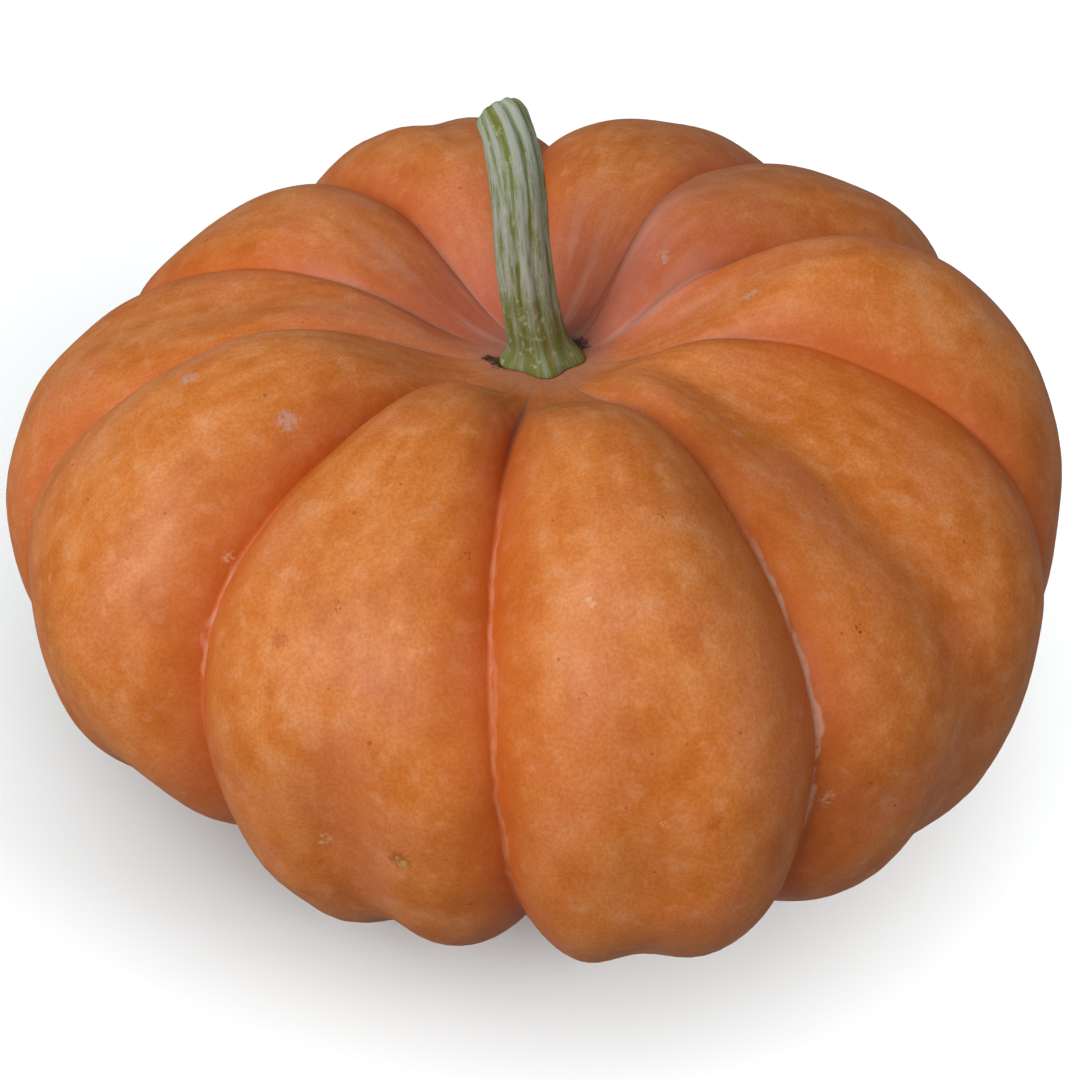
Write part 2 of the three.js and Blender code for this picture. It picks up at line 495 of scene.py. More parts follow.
BLEMISHES = (
    Blemish(Mark.SCAR_RIM, 0, 0.72, 92.5, 4.2),
    Blemish(Mark.SCAR_HEART, 0, 0.73, 93, 2.2),
    Blemish(Mark.CRUST, 0, 0.48, 95, 2.1),
    Blemish(Mark.RED_SPOT, 0, 0.37, 62, 3.2),
    Blemish(Mark.PORE, 0, 0.9, 42.5, 1.4),
    Blemish(Mark.PORE, 0, 0.53, 54.5, 0.8),
    Blemish(Mark.CRUST, 1, 0.47, 80.5, 1.5),
    Blemish(Mark.RED_SPOT, 1, 0.6, 81, 2.4),
    Blemish(Mark.CRUST, 1, 0.32, 49.5, 1.6),
    Blemish(Mark.PORE, 1, 0.28, 61, 0.9),
    Blemish(Mark.PORE, 1, 0.59, 40, 0.9),
    Blemish(Mark.PORE, 2, 0.15, 58.5, 1.1),
    Blemish(Mark.CRUST, 2, 0.035, 88, 3.0),
    Blemish(Mark.SCUFF, 2, 0.72, 22, 1.3),
    Blemish(Mark.SCUFF, 2, 0.29, 26, 1.4),
    Blemish(Mark.SCUFF, 3, 0.33, 20, 2.6),
    Blemish(Mark.SCUFF, 4, 0.18, 12, 2.2),
    Blemish(Mark.CRUST, 9, 0.97, 54, 2.0),
    Blemish(Mark.SCUFF, 9, 0.85, 33.5, 3.6),
    Blemish(Mark.SCUFF, 9, 0.42, 39.5, 3.2),
    Blemish(Mark.SOIL, 4, 0.42, 3.1, 5.5),
    Blemish(Mark.SOIL, 9, 0.23, 3.1, 4.5),
    Blemish(Mark.SOIL, 8, 0.88, 4.1, 2.5),
)


@dataclass(frozen=True)
class Seam:
    """A thin corky line down a furrow.

    Attributes:
        furrow: The number of the rib that the furrow starts.
        start: Where the line starts, in degrees down the fruit.
        end: Where it ends.
        half_width: Half its width in millimetres.
        strength: How much of it shows.
    """

    furrow: int
    start: float
    end: float
    half_width: float
    strength: float

    @property
    def name(self) -> str:
        """The name of the attribute that holds each vertex's distance from the furrow."""
        return f"seam_{self.furrow}"


SEAMS = (
    Seam(2, 36, 104, 1.3, 0.75),
    Seam(1, 28, 108, 0.8, 0.25),
    Seam(0, 50, 95, 0.7, 0.35),
)


@dataclass(frozen=True)
class Rind:
    """The skin: waxy orange with a fine pale mottle, redder in the furrows and round the stem, and
    darkened in the furrows and creases by painted shade.

    Attributes:
        ochre: The darkest of the mottle's five shades.
        deep_orange: The next.
        orange: The middle one.
        light_orange: The next.
        pale: The palest, also that of its small flecks.
        pink_orange: Broad pinkish patches.
        furrow_red_and_shade: The furrows' own redder colour, deepened by painted shade, and the
            creases' painted shade.
        hollow_pink: The slopes round the stem.
        streak_pink: The pale streaks on those slopes.
        dust_and_shade: Greyish-brown dust round the stem's foot, and painted shade down the furrow
            bottoms near the top.
        cork: The thin lines down some furrows.
        cell_dark: What the finest grain's dark cells multiply the colour by.
        cell_light: What its light cells multiply it by.
        pores: The spacing and the radius of each kind of pore, in metres.
        pore_share: How much of the pores shows.
        seam_sway: How far the thin lines stray from the furrow, in metres.
        seam_fade: Over how many degrees they run out at their ends.
        raggedness: How far the marks' edges stray, in metres.
        roughness: The skin's usual roughness.
        specular: How strongly it reflects.
    """

    ochre: Colour = colour(0xB8661C)
    deep_orange: Colour = colour(0xC56B20)
    orange: Colour = colour(0xD07831)
    light_orange: Colour = colour(0xD88645)
    pale: Colour = colour(0xE0A078)
    pink_orange: Colour = colour(0xD47C52)
    furrow_red_and_shade: Colour = colour(0xC65A22)
    hollow_pink: Colour = colour(0xB45C4C)
    streak_pink: Colour = colour(0xC98A76)
    dust_and_shade: Colour = colour(0x9C7264)
    cork: Colour = colour(0xDCA588)
    cell_dark: Colour = (0.9, 0.87, 0.8, 1)
    cell_light: Colour = (1.07, 1.08, 1.1, 1)
    pores: tuple[tuple[float, float], ...] = ((0.0075, 0.0006), (0.019, 0.001))
    pore_share: float = 0.6
    seam_sway: float = 0.006
    seam_fade: float = 12
    raggedness: float = 0.006
    roughness: float = 0.47
    specular: float = 0.3

    def material(self, spots: tuple[tuple[Mark, Vector, float], ...]) -> bpy.types.Material:
        """Builds the skin's material.

        Args:
            spots: The kind, the place and the radius of each blemish, in metres.

        Returns:
            The material, which reads the attributes that the fruit's mesh carries.
        """
        tree = Tree("pumpkin_rind")
        here = tree.here()
        grain = tree.attribute("grain", "Vector")
        furrow = tree.attribute("furrow")
        inner = tree.attribute("inner")

        base = self.mottle(tree, here, grain, furrow)
        # The furrows' own redder colour, with painted shade that deepens it, and painted shade in the
        # creases.
        base = tree.mix(tree.times(furrow, 0.7), base, self.furrow_red_and_shade)
        base = tree.mix(tree.times(inner, 0.8), base, self.hollow_pink)
        streaks = tree.span(tree.noise(grain, 0.02, 4), 0.48, 0.68)
        base = tree.mix(tree.times(tree.times(streaks, inner), 0.8), base, self.streak_pink)
        # Greyish-brown dust round the stem's foot, and painted shade down the furrow bottoms near the
        # top.
        base = tree.mix(tree.attribute("dust_and_shade"), base, self.dust_and_shade)
        base = self.seams(tree, here, base)
        base = self.blemishes(tree, here, base, spots)

        cells = tree.noise(grain, 0.0011, 2)
        rough = tree.times(tree.noise(here, 0.009, 3), 0.2, self.roughness - 0.1)
        lumps = tree.bump(tree.noise(here, 0.0065, 3), 0.0006, 0.4)
        skin = tree.bump(cells, 0.00012, 0.6, lumps)
        return tree.finish(base, rough, skin, self.specular)

    def mottle(self, tree: Tree, here: Socket, grain: Socket, furrow: Socket) -> Socket:
        """The skin's own orange, from ochre to pale, with fine cells and pores.

        Args:
            tree: The skin's tree.
            here: The shaded point's place.
            grain: Its place on the skin's grain.
            furrow: How deep in a furrow or a crease it is, which darkens the colour there as painted
                shade.

        Returns:
            The colour.
        """
        fine = tree.noise(here, 0.011, 6, 0.62)
        broad = tree.noise(here, 0.05, 2)
        drawn_out = tree.noise(grain, 0.009, 3)
        level = tree.times(fine, 0.25, tree.times(broad, 0.16, tree.times(drawn_out, 0.25, 0.195)))
        # Painted shade: the mottle turns darker, towards ochre, in the furrows and creases.
        level = tree.times(furrow, -0.05, level)
        stops = (
            (0.38, self.ochre),
            (0.45, self.deep_orange),
            (0.51, self.orange),
            (0.57, self.light_orange),
            (0.7, self.pale),
        )
        base = tree.ramp(level, stops)
        pink = tree.span(tree.noise(here, 0.03, 2), 0.48, 0.7)
        base = tree.mix(tree.times(pink, 0.4), base, self.pink_orange)
        blobs = tree.span(tree.noise(here, 0.0055, 2), 0.56, 0.72)
        base = tree.mix(tree.times(blobs, 0.22), base, self.pale)
        cells = tree.noise(here, 0.0009, 3, 0.6)
        shades = tree.mix(tree.span(cells, 0.35, 0.65), self.cell_dark, self.cell_light)
        base = tree.mix(1.0, base, shades, "MULTIPLY")
        pore_colour = colour(Mark.PORE.value[0])
        for spacing, radius in self.pores:
            cover = tree.times(tree.dots(here, spacing, radius), self.pore_share)
            base = tree.mix(cover, base, pore_colour)
        return base

    def seams(self, tree: Tree, here: Socket, base: Socket) -> Socket:
        """Lays the corky lines over the skin's colour."""
        down = tree.attribute("down")
        wave = tree.times(tree.noise(here, 0.012, 2), self.seam_sway, -self.seam_sway / 2)
        patchy = tree.span(tree.noise(here, 0.004, 2), 0.3, 0.5)
        for seam in SEAMS:
            away = tree.math("ABSOLUTE", tree.math("ADD", tree.attribute(seam.name), wave))
            cover = tree.span(away, seam.half_width * MM, 0.4 * seam.half_width * MM)
            cover = tree.times(cover, tree.span(down, seam.start, seam.start + self.seam_fade))
            cover = tree.times(cover, tree.span(down, seam.end, seam.end - self.seam_fade))
            cover = tree.times(tree.times(cover, patchy), seam.strength)
            base = tree.mix(cover, base, self.cork)
        return base

    def blemishes(
        self, tree: Tree, here: Socket, base: Socket, spots: tuple[tuple[Mark, Vector, float], ...]
    ) -> Socket:
        """Lays the single marks over the skin's colour, with ragged edges.

        Args:
            tree: The skin's tree.
            here: The shaded point's place.
            base: The skin's colour.
            spots: The kind, the place and the radius of each mark, in metres.

        Returns:
            The colour with the marks on it.
        """
        ragged = tree.add("ShaderNodeTexNoise", {"Vector": here, "Scale": 900.0, "Detail": 3.0})
        shift = tree.vector("SUBTRACT", ragged.outputs["Color"], (0.5, 0.5, 0.5))
        place = tree.vector("MULTIPLY_ADD", shift, (self.raggedness,) * 3, here)
        flaky = tree.span(tree.noise(here, 0.0016, 3), 0.36, 0.54)
        for mark, middle, radius in spots:
            code, share, flakes = mark.value
            away = tree.vector("DISTANCE", place, middle, output="Value")
            cover = tree.times(tree.span(away, radius, 0.4 * radius), share)
            if flakes:
                cover = tree.times(cover, flaky)
            base = tree.mix(cover, base, colour(code))
        return base


@dataclass
class Fruit:
    """The fruit, laid over a fine ball by the same formula as the part, with finer relief.

    Attributes:
        form: The ribbed shape.
        columns_per_rib: How many columns of faces each rib has.
        rows: How many rows there are from the stem to the blossom end.
        column_crowding: How much the columns gather at the furrows.
        row_crowding: How much the rows gather at both ends.
        lump_seed: The seed of the skin's swellings.
        lump_waves: How many waves make them up.
        lump_lengths: The shortest and the longest of those waves, in millimetres.
        lump_height: About how high they are, in millimetres.
        lump_start: How far from the axis they begin and reach their full height, in millimetres.
        lump_floor: The heights between which they end above the resting level, in millimetres.
        red_and_shade_depth: The depth at which a furrow is as red, and as dark with painted shade, as
            it gets, in millimetres.
        crease_painted_shade: How much painted shade a crease gets for each millimetre of its depth.
        pink_reach: How far out the pink of the stem hollow is felt, in millimetres.
        seat_dust: How far from the axis the dust at the stem starts and is full, in millimetres.
        groove_shade: The same for the painted shade down the furrow bottoms.
        grain_radius: The radius of the upright roll that the grain is drawn on, in metres.
        grain_step: How much of the roll's height one degree down the fruit takes, in metres.
        finish: The skin.
        axis: The middle of the widest level in the frame, once the fruit is built.
    """

    form: FruitForm = field(default_factory=FruitForm)
    columns_per_rib: int = 36
    rows: int = 220
    column_crowding: float = 0.6
    row_crowding: float = 0.35
    lump_seed: int = 7
    lump_waves: int = 24
    lump_lengths: tuple[float, float] = (22, 70)
    lump_height: float = 0.45
    lump_start: tuple[float, float] = (20, 60)
    lump_floor: tuple[float, float] = (-75, -60)
    red_and_shade_depth: float = 12
    crease_painted_shade: float = 0.06
    pink_reach: float = 42
    seat_dust: tuple[float, float] = (24, 13)
    groove_shade: tuple[float, float] = (85, 20)
    grain_radius: float = 0.15
    grain_step: float = 0.0012
    finish: Rind = field(default_factory=Rind)
    axis: Vector = field(default_factory=Vector)

    def build(self) -> bpy.types.Object:
        """Makes the fruit in its CAD node's place.

        Returns:
            The finished piece.
        """
        columns = self.columns_per_rib * len(self.form.ribs)
        bpy.ops.mesh.primitive_uv_sphere_add(segments=columns, ring_count=self.rows)
        fruit = bpy.context.object
        fruit.name = fruit.data.name = "pumpkin_fruit"
        number, across, down = self.places(fruit.data)
        points = self.form.skin(number, across, down)
        set_points(fruit.data, (points + self.lumps(points)) * MM)
        self.note_patterns(fruit.data, points, number, across, down)
        self.axis = stand_in_box(fruit, "fruit")
        spots = tuple((mark.kind, self.place(mark), mark.radius * MM) for mark in BLEMISHES)
        fruit.data.materials.append(self.finish.material(spots))
        bpy.ops.object.shade_smooth()
        return fruit

    def places(self, mesh: bpy.types.Mesh) -> tuple[np.ndarray, np.ndarray, np.ndarray]:
        """Where each of the ball's vertices goes on the fruit.

        Args:
            mesh: The ball, before its vertices are moved.

        Returns:
            Each vertex's rib number, its share across the rib and its angle down the fruit.
        """
        ball = points_of(mesh)
        ball /= np.linalg.norm(ball, axis=1, keepdims=True)
        columns = self.columns_per_rib * len(self.form.ribs)
        turn = np.degrees(np.arctan2(ball[:, 0], -ball[:, 1])) / 360
        column = np.round(turn * columns).astype(int) % columns
        even = column % self.columns_per_rib / self.columns_per_rib
        down = 180 * gathered(np.arccos(np.clip(ball[:, 2], -1, 1)) / np.pi, self.row_crowding)
        return column // self.columns_per_rib, gathered(even, self.column_crowding), down

    def place(self, mark: Blemish) -> Vector:
        """Where a blemish lies in the frame, in metres."""
        point = self.form.skin(np.array([mark.rib]), np.array([mark.across]), np.array([mark.down]))[0]
        return Vector(point * MM) + self.axis

    def lumps(self, points: np.ndarray) -> np.ndarray:
        """Gentle swellings of the skin.

        Args:
            points: The even skin's points, from the middle of the widest level.

        Returns:
            How each point moves.
        """
        source = np.random.default_rng(self.lump_seed)
        height = np.zeros(len(points))
        for _ in range(self.lump_waves):
            way = source.normal(size=3)
            wave = 2 * np.pi * way / np.linalg.norm(way) / source.uniform(*self.lump_lengths)
            height += np.sin(points @ wave + source.uniform(0, 2 * np.pi))
        girth, upright = self.form.girth_slope, self.form.height_slope
        outward = points / np.array([girth, girth, upright]) ** 2
        outward /= np.linalg.norm(outward, axis=1, keepdims=True)
        radius = np.hypot(points[:, 0], points[:, 1])
        fade = eased(radius, *self.lump_start) * eased(points[:, 2], *self.lump_floor)
        return outward * (self.lump_height * height / math.sqrt(self.lump_waves) * fade)[:, None]

    def furrow_distance(
        self, furrow: int, number: np.ndarray, across: np.ndarray, radius: np.ndarray
    ) -> np.ndarray:
        """How far round the fruit each vertex is from a furrow, in millimetres.

        Args:
            furrow: The number of the rib that the furrow starts.
            number: The rib of each vertex.
            across: Its share across the rib.
            radius: Its distance from the axis.

        Returns:
            The distance, which is left at a large one on ribs that the furrow doesn't touch.
        """
        elsewhere = 100
        count = len(self.form.ribs)
        side = np.where(number == furrow, across, across - 1)
        away = side * np.radians(self.form.widths()[number]) * radius
        beside = (number == furrow) | (number == (furrow - 1) % count)
        return np.where(beside, away, elsewhere)

    def note_patterns(
        self,
        mesh: bpy.types.Mesh,
        points: np.ndarray,
        number: np.ndarray,
        across: np.ndarray,
        down: np.ndarray,
    ) -> None:
        """Stores what the skin's material needs to know at each vertex.

        Args:
            mesh: The fruit's mesh.
            points: The even skin's points, from the middle of the widest level.
            number: The rib of each vertex.
            across: Its share across the rib.
            down: Its angle down the fruit.
        """
        radius = np.hypot(points[:, 0], points[:, 1])
        _, lobe, crease = self.form.relief(number, across, down)
        strength = eased(radius - self.form.seat_radius, 0, self.form.relief_fade)
        # The furrows' own redness and painted shade, both stronger in deeper furrows; the creases get
        # painted shade only.
        depth = self.form.crest_size("depth", number, across)
        furrow = lobe**1.5 * np.clip(depth / self.red_and_shade_depth, 0.5, 1)
        add_values(mesh, "furrow", (furrow + self.crease_painted_shade * crease) * strength)
        above = down < 90
        near = self.form.hollow(radius, self.form.seat_radius, self.pink_reach) * above
        behind = eased(points[:, 1] / np.maximum(radius, 1), -0.4, 0.6)
        add_values(mesh, "inner", near * (0.15 + 0.85 * behind))
        # Dust round the stem's foot, and painted shade down the upper furrow bottoms.
        seat = eased(radius, *self.seat_dust) * above
        groove = eased(lobe, 0.75, 1) * eased(radius, *self.groove_shade) * above
        add_values(mesh, "dust_and_shade", np.maximum(0.5 * seat, 0.75 * groove))
        add_values(mesh, "down", down)
        for seam in SEAMS:
            add_values(mesh, seam.name, self.furrow_distance(seam.furrow, number, across, radius) * MM)
        bearing = np.arctan2(points[:, 0], -points[:, 1])
        round_roll = self.grain_radius * np.stack([np.sin(bearing), -np.cos(bearing)], -1)
        add_vectors(mesh, "grain", np.column_stack([round_roll, down * self.grain_step]))


@dataclass(frozen=True)
class DriedStem:
    """The stem's finish: grey-green with whitish bands and olive lines, greener towards the foot.

    Attributes:
        green: The usual grey-green.
        whitish: The pale bands on the ridges.
        olive: The lines in the grooves.
        low_green: The foot.
        brown: Dry patches at the foot.
        fleck: Small pale flecks.
        cut: The cut end.
        roughness: How rough it is.
        specular: How strongly it reflects.
    """

    green: Colour = colour(0x89926A)
    whitish: Colour = colour(0xA9B0A2)
    olive: Colour = colour(0x73782E)
    low_green: Colour = colour(0x646B3A)
    brown: Colour = colour(0x7A6426)
    fleck: Colour = colour(0xC4C2AC)
    cut: Colour = colour(0x9A8F6C)
    roughness: float = 0.72
    specular: float = 0.25

    def material(self) -> bpy.types.Material:
        """Builds the stem's material, which reads the attributes streak, ridge, rise and cut."""
        tree = Tree("pumpkin_stem")
        here = tree.here()
        streak = tree.attribute("streak", "Vector")
        ridge = tree.attribute("ridge")
        rise = tree.attribute("rise")
        lines = tree.noise(streak, 0.0011, 6, 0.7)
        bands = tree.noise(streak, 0.0035, 2)
        low = tree.span(tree.times(tree.noise(here, 0.01, 2), 0.3, rise), 0.55, 0.25)

        level = tree.times(lines, 1.2, tree.times(bands, 0.55, tree.times(ridge, 0.16, -0.45)))
        level = tree.times(low, -0.12, level)
        stops = ((0.34, self.olive), (0.47, self.green), (0.62, self.whitish))
        base = tree.ramp(level, stops)
        base = tree.mix(tree.times(low, 0.5), base, self.low_green)
        brown = tree.span(tree.noise(streak, 0.003, 3), 0.55, 0.7)
        base = tree.mix(tree.times(tree.times(brown, low), 0.6), base, self.brown)
        specks = tree.span(tree.noise(here, 0.002, 4), 0.57, 0.7)
        base = tree.mix(tree.times(specks, 0.4), base, self.fleck)
        base = tree.mix(tree.attribute("cut"), base, self.cut)
        relief = tree.bump(lines, 0.0006, 0.8)
        return tree.finish(base, self.roughness, relief, self.specular)


@dataclass
class Stem:
    """The cut stem: a fluted shaft with a flared foot, which nods at the top. Lengths are millimetres.

    Shares of its length run from 0 at the foot to 1 at the cut end.

    Attributes:
        length: The shaft's length.
        lean: How far it leans to the left.
        lean_share: The share of its length at which it stands upright again.
        nod_side: How far the top nods to the left.
        nod_back: How far it nods back.
        nod_drop: How much height that costs.
        nod_lateness: How late the nod starts. Larger is later.
        foot_share: The share of the length over which the foot turns into the shaft's direction.
        foot_shaft_radius: The shaft's radius at the foot, without the flare.
        top_radius: Its radius at the top.
        foot_flare: How far the foot flares.
        foot_flare_height: How quickly the flare ends.
        foot_corners: How many corners the foot has.
        foot_corner_size: How far they stand out.
        foot_turn: The first corner's bearing in degrees.
        flutes: How many ridges the shaft has.
        flute_depth: How far they stand out, and the grooves in.
        twist: How many degrees they turn from foot to top.
        rim_height: The height of the rounded rim.
        rim_roundness: How squarely it rounds over. Larger is squarer.
        rim_draw: How far it draws in.
        sides: How many columns of faces go round.
        foot_rows: How many rows the foot's flat disc has.
        rows: How many rows the shaft has.
        row_crowding: How much they gather at both ends.
        cut_rows: How many rows the cut end has.
        cut_dip: How deep its middle is dented.
        wear_seed: The seed of the worn sides.
        wear_waves: How many waves make them up.
        wear_depth: About how far they stand in and out.
        streak_radius: The radius of the roll that the streaks are drawn on, in metres.
        streak_stretch: How many times as long as wide they are.
        finish: Its finish.
    """

    length: float = 74
    lean: float = 5.8
    lean_share: float = 0.7
    nod_side: float = 5.5
    nod_back: float = 9.5
    nod_drop: float = 4.5
    nod_lateness: float = 6
    foot_share: float = 0.12
    foot_shaft_radius: float = 8.1
    top_radius: float = 6.6
    foot_flare: float = 3.2
    foot_flare_height: float = 3.4
    foot_corners: int = 5
    foot_corner_size: float = 1.1
    foot_turn: float = 7
    flutes: int = 10
    flute_depth: float = 0.32
    twist: float = 15
    rim_height: float = 3
    rim_roundness: float = 2.4
    rim_draw: float = 0.45
    sides: int = 160
    foot_rows: int = 6
    rows: int = 150
    row_crowding: float = 0.7
    cut_rows: int = 14
    cut_dip: float = 0.8
    wear_seed: int = 3
    wear_waves: int = 16
    wear_depth: float = 0.2
    streak_radius: float = 0.008
    streak_stretch: float = 9
    finish: DriedStem = field(default_factory=DriedStem)

    def build(self) -> bpy.types.Object:
        """Makes the stem in its CAD node's place.

        Returns:
            The finished piece.
        """
        rings = self.foot_rows + self.rows + self.cut_rows
        bpy.ops.mesh.primitive_uv_sphere_add(segments=self.sides, ring_count=rings)
        stem = bpy.context.object
        stem.name = stem.data.name = "pumpkin_stem"
        ball = points_of(stem.data)
        ball /= np.linalg.norm(ball, axis=1, keepdims=True)
        row = np.round(np.arccos(np.clip(-ball[:, 2], -1, 1)) / np.pi * rings) - self.foot_rows
        share = gathered(np.clip(row / self.rows, 0, 1), self.row_crowding)
        inward = np.clip((row - self.rows) / self.cut_rows, 0, 1)
        outward = np.clip(1 + row / self.foot_rows, 0, 1)
        turn = np.arctan2(ball[:, 0], -ball[:, 1])
        side_radius = self.radius(share, np.degrees(turn)) + self.wear(share, turn)
        radius = side_radius * (1 - inward) * outward
        right, front, along = self.directions(share)
        side = np.sin(turn)[:, None] * right + np.cos(turn)[:, None] * front
        dip = self.cut_dip * eased(inward, 0, 0.7)
        points = self.middle(share) + radius[:, None] * side - dip[:, None] * along
        set_points(stem.data, points * MM)

        add_values(stem.data, "rise", share)
        add_values(stem.data, "ridge", self.ridge(share, np.degrees(turn)))
        add_values(stem.data, "cut", eased(inward, 0, 0.1))
        round_roll = self.streak_radius * np.stack([np.sin(turn), -np.cos(turn)], -1)
        height = share * self.length * MM / self.streak_stretch
        add_vectors(stem.data, "streak", np.column_stack([round_roll, height]))
        stand_in_box(stem, "stem")
        stem.data.materials.append(self.finish.material())
        bpy.ops.object.shade_smooth()
        return stem

    def wear(self, share: np.ndarray, turn: np.ndarray) -> np.ndarray:
        """How far the dried skin stands in or out of the even shaft, in millimetres."""
        source = np.random.default_rng(self.wear_seed)
        depth = np.zeros(len(share))
        for _ in range(self.wear_waves):
            around = source.integers(3, 15)
            along = source.uniform(2, 14)
            depth += np.sin(around * turn + along * share + source.uniform(0, 2 * np.pi))
        return self.wear_depth * depth / math.sqrt(self.wear_waves) * eased(share, 0, 0.1)

    def middle(self, share: np.ndarray) -> np.ndarray:
        """The middle of the shaft at each share of its length, in millimetres from the foot."""
        lean = 1 - (1 - np.minimum(share / self.lean_share, 1)) ** 2
        nod = np.maximum(share, 0) ** self.nod_lateness
        x = -self.lean * lean - self.nod_side * nod
        return np.stack([x, self.nod_back * nod, self.length * share - self.nod_drop * nod], -1)

    def directions(self, share: np.ndarray) -> tuple[np.ndarray, np.ndarray, np.ndarray]:
        """The stem's own right, front and along at each share, upright at the foot."""
        step = 0.001
        shaft = self.middle(share + step) - self.middle(share - step)
        shaft /= np.linalg.norm(shaft, axis=1, keepdims=True)
        way = eased(share / self.foot_share)[:, None]
        along = way * shaft + (1 - way) * np.array([0, 0, 1])
        along /= np.linalg.norm(along, axis=1, keepdims=True)
        right = np.cross(np.array([0, 1, 0]), along)
        right /= np.linalg.norm(right, axis=1, keepdims=True)
        return right, np.cross(right, along), along

    def ridge(self, share: np.ndarray, bearing: np.ndarray) -> np.ndarray:
        """How close each point is to the top of a ridge, from 0 in a groove to 1."""
        return np.abs(np.cos(np.radians(self.flutes / 2 * (bearing - self.twist * share)))) ** 0.8

    def radius(self, share: np.ndarray, bearing: np.ndarray) -> np.ndarray:
        """The shaft's radius.

        Args:
            share: The share of the stem's length.
            bearing: Degrees round the stem from the front.

        Returns:
            The radius at each point, in millimetres.
        """
        height = share * self.length
        shaft = self.foot_shaft_radius + (self.top_radius - self.foot_shaft_radius) * share
        flare = np.exp(-((height / self.foot_flare_height) ** 2))
        corner_turn = np.radians(self.foot_corners * (bearing - self.foot_turn))
        corners = self.foot_corner_size * np.cos(corner_turn)
        flutes = self.flute_depth * (2 * self.ridge(share, bearing) - 1)
        past_rim = np.clip((height - self.length + self.rim_height) / self.rim_height, 0, 1)
        rim = (1 - self.rim_draw * past_rim**self.rim_roundness) ** (1 / self.rim_roundness)
        return (shaft + flare * (self.foot_flare + corners) + (1 - flare) * flutes) * rim


@dataclass(frozen=True)
class Lamp:
    """A square soft lamp that faces the fruit.

    Attributes:
        name: Its name.
        place: Where it hangs, in metres.
        size: Its side in metres.
        power: Its power in watts.
        for_floor: Whether it lights only the floor, on which the pumpkin still casts its shadow.
            Otherwise it lights only the pumpkin.
    """

    name: str
    place: tuple[float, float, float]
    size: float
    power: float
    for_floor: bool = False


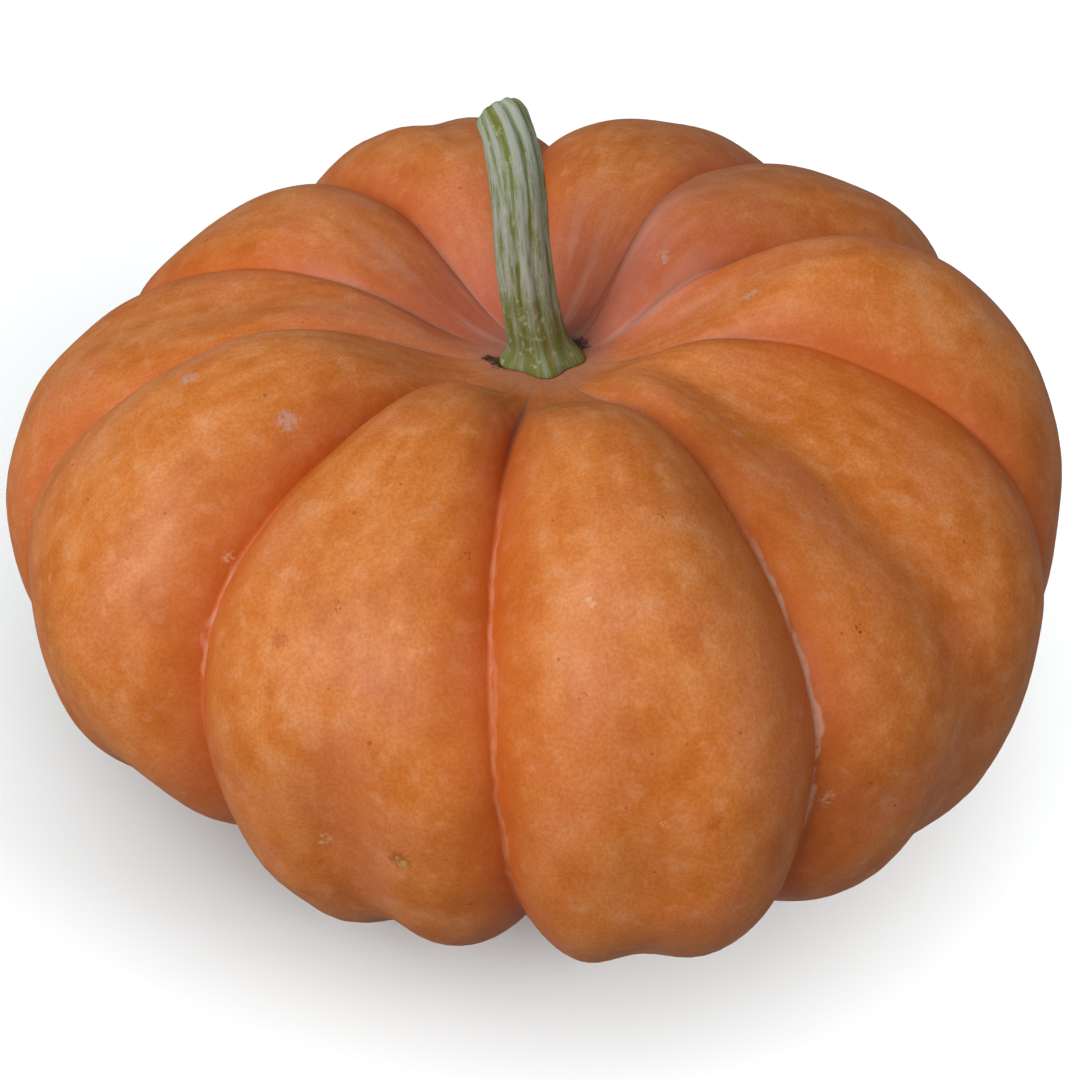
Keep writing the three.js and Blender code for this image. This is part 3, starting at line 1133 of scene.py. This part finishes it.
@dataclass
class Studio:
    """The white floor, the soft lights and the camera. Lengths are metres and angles degrees.

    Attributes:
        axis: The middle of the fruit at its widest level.
        pieces: The pumpkin's pieces.
        elevation: How far the camera looks down.
        distance: From the camera to the point that it looks at.
        aim_below: How far that point is below the widest level.
        lens: The focal length in millimetres on a 36 mm wide sensor.
        floor_size: The side of the floor.
        wall_radius: How far off the white wall stands.
        wall_height: The wall's height, half of it below the floor.
        floor_white: The floor's colour.
        sky: How bright the white sky is.
        lamps: The soft lamps.
    """

    axis: Vector
    pieces: tuple[bpy.types.Object, ...]
    elevation: float = 36.8
    distance: float = 0.636
    aim_below: float = 0.0127
    lens: float = 71.9
    floor_size: float = 40.0
    wall_radius: float = 11.0
    wall_height: float = 12.0
    floor_white: Colour = colour(0xCACDCE)
    sky: float = 0.24
    lamps: tuple[Lamp, ...] = (
        Lamp("window", (-1.0, -1.1, 1.35), 1.4, 32.5),
        Lamp("room", (1.2, -1.0, 1.0), 1.1, 3.5),
        Lamp("floor_front", (0.15, -0.8, 0.45), 0.5, 6.5, for_floor=True),
        Lamp("floor_right", (1.5, -0.9, 1.0), 0.8, 14.0, for_floor=True),
        Lamp("floor_above", (0.0, 0.0, 6.0), 30.0, 4300.0, for_floor=True),
    )

    def build(self) -> None:
        """Sets up the camera, the floor and the lights."""
        self.place_camera()
        floor = self.lay_floor()
        self.raise_wall()
        self.light(floor)

    def place_camera(self) -> None:
        """Puts the camera where the fruit is seen from about 37 degrees above level."""
        target = self.axis - Vector((0, 0, self.aim_below))
        down = math.radians(self.elevation)
        away = Vector((0, -math.cos(down), math.sin(down)))
        bpy.ops.object.camera_add(location=target + away * self.distance)
        camera = bpy.context.object
        camera.name = "camera"
        camera.rotation_euler = (-away).to_track_quat("-Z", "Y").to_euler()
        camera.data.lens = self.lens
        camera.data.sensor_width = 36
        camera.data.clip_start = 0.01
        bpy.context.scene.camera = camera

    def lay_floor(self) -> bpy.types.Object:
        """Lays a plain white floor under the fruit.

        Returns:
            The floor.
        """
        bpy.ops.mesh.primitive_plane_add(size=self.floor_size)
        floor = bpy.context.object
        floor.name = "studio_floor"
        tree = Tree("studio_floor")
        inputs = {"Base Color": self.floor_white, "Roughness": 0.9, "Specular IOR Level": 0.0}
        shader = tree.add("ShaderNodeBsdfPrincipled", inputs)
        tree.add("ShaderNodeOutputMaterial", {"Surface": shader.outputs["BSDF"]})
        floor.data.materials.append(tree.material)
        floor.visible_diffuse = False
        floor.visible_glossy = False
        return floor

    def raise_wall(self) -> None:
        """Stands a glowing white wall round the floor, which only the camera sees."""
        bpy.ops.mesh.primitive_cylinder_add(
            vertices=96, radius=self.wall_radius, depth=self.wall_height, end_fill_type="NOTHING"
        )
        wall = bpy.context.object
        wall.name = "studio_wall"
        tree = Tree("studio_wall")
        glow = tree.add("ShaderNodeEmission", {"Color": (1, 1, 1, 1), "Strength": 1.0})
        tree.add("ShaderNodeOutputMaterial", {"Surface": glow.outputs["Emission"]})
        wall.data.materials.append(tree.material)
        wall.visible_diffuse = False
        wall.visible_glossy = False
        wall.visible_shadow = False

    def light(self, floor: bpy.types.Object) -> None:
        """Adds a white sky and the soft lamps.

        Args:
            floor: The floor, which has lamps of its own.
        """
        world = bpy.data.worlds.new("studio")
        world.use_nodes = True
        background = world.node_tree.nodes["Background"]
        background.inputs["Color"].default_value = (1, 1, 1, 1)
        background.inputs["Strength"].default_value = self.sky
        bpy.context.scene.world = world
        lit_floor = bpy.data.collections.new("lit_floor")
        lit_floor.objects.link(floor)
        lit_pumpkin = bpy.data.collections.new("lit_pumpkin")
        for piece in self.pieces:
            lit_pumpkin.objects.link(piece)
        for lamp in self.lamps:
            bpy.ops.object.light_add(type="AREA", location=lamp.place)
            light = bpy.context.object
            light.name = lamp.name
            light.data.size = lamp.size
            light.data.energy = lamp.power
            light.visible_camera = False
            light.rotation_euler = (self.axis - light.location).to_track_quat("-Z", "Y").to_euler()
            light.light_linking.receiver_collection = lit_floor if lamp.for_floor else lit_pumpkin
        bpy.context.scene.view_settings.view_transform = "Standard"


def points_of(mesh: bpy.types.Mesh) -> np.ndarray:
    """The mesh's vertices, one row of x, y and z each."""
    flat = np.empty(len(mesh.vertices) * 3)
    mesh.vertices.foreach_get("co", flat)
    return flat.reshape(-1, 3)


def set_points(mesh: bpy.types.Mesh, points: np.ndarray) -> None:
    """Moves the mesh's vertices to these points."""
    mesh.vertices.foreach_set("co", points.astype(np.float32).ravel())
    mesh.update()


def add_values(mesh: bpy.types.Mesh, name: str, values: np.ndarray) -> None:
    """Stores one number for each vertex under this name."""
    layer = mesh.attributes.new(name, "FLOAT", "POINT")
    layer.data.foreach_set("value", values.astype(np.float32))


def add_vectors(mesh: bpy.types.Mesh, name: str, values: np.ndarray) -> None:
    """Stores one vector for each vertex under this name."""
    layer = mesh.attributes.new(name, "FLOAT_VECTOR", "POINT")
    layer.data.foreach_set("vector", values.astype(np.float32).ravel())


def stand_in_box(piece: bpy.types.Object, node: str) -> Vector:
    """Moves a piece's mesh so that it stands in its CAD node's box, middle over middle.

    Args:
        piece: The piece.
        node: The CAD node's name.

    Returns:
        How far it was moved.
    """
    low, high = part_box(node)
    points = points_of(piece.data)
    middle = (points.min(0) + points.max(0)) / 2
    shift = np.array((low + high) / 2) - middle
    shift[2] = low.z - points[:, 2].min()
    set_points(piece.data, points + shift)
    return Vector(shift)


def report(piece: bpy.types.Object, node: str) -> None:
    """Ties a finished piece to the frame and logs its size.

    Args:
        piece: The piece.
        node: The CAD node that it stands for.
    """
    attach(piece, "root")
    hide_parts(node)
    size = [round(1000 * side, 1) for side in piece.dimensions]
    LOG.info("%s: %d faces, %s mm", piece.name, len(piece.data.polygons), size)


def main() -> None:
    """Builds the pumpkin and its studio."""
    logging.basicConfig(level=logging.INFO, format="%(message)s")
    bpy.ops.object.select_all(action="DESELECT")
    form = Fruit()
    fruit = form.build()
    stem = Stem().build()
    report(fruit, "fruit")
    report(stem, "stem")
    Studio(form.axis, (fruit, stem)).build()


if __name__ == "__main__":
    main()
